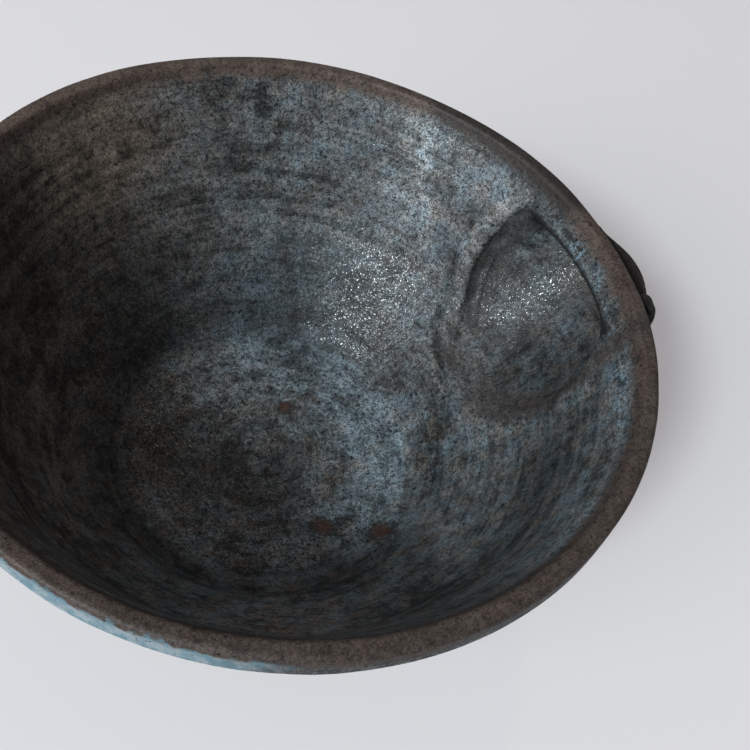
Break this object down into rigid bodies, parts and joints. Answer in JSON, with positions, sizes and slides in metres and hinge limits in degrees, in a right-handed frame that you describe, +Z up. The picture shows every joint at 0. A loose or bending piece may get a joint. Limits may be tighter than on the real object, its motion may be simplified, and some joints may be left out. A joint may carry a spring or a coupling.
{
  "type": "spouted bowl",
  "caption": "Wheel-thrown stoneware bowl with an unbroken rim over a luted pouring spout, on a turned foot ring, in dark speckled iron glaze.",
  "frame": {"origin": "on the table, under the middle of the whole outline, spout included", "axes": "+X towards the pouring lip, +Z up"},
  "size_m": [0.166, 0.154, 0.078],
  "materials": {
    "bowl_glaze": "semi-matte iron glaze, charcoal, with a fine blue-grey crystal speckle",
    "spout_glaze": "semi-matte iron glaze, charcoal, browner at the lip",
    "foot_clay": "bare dark stoneware, matte"
  },
  "bodies": {
    "root": {"bowl_body": "bowl_glaze", "foot_ring": "foot_clay", "spout": "spout_glaze", "spout_seam_coil": "spout_glaze", "inner_seam_roll": "bowl_glaze"}
  },
  "joints": []
}
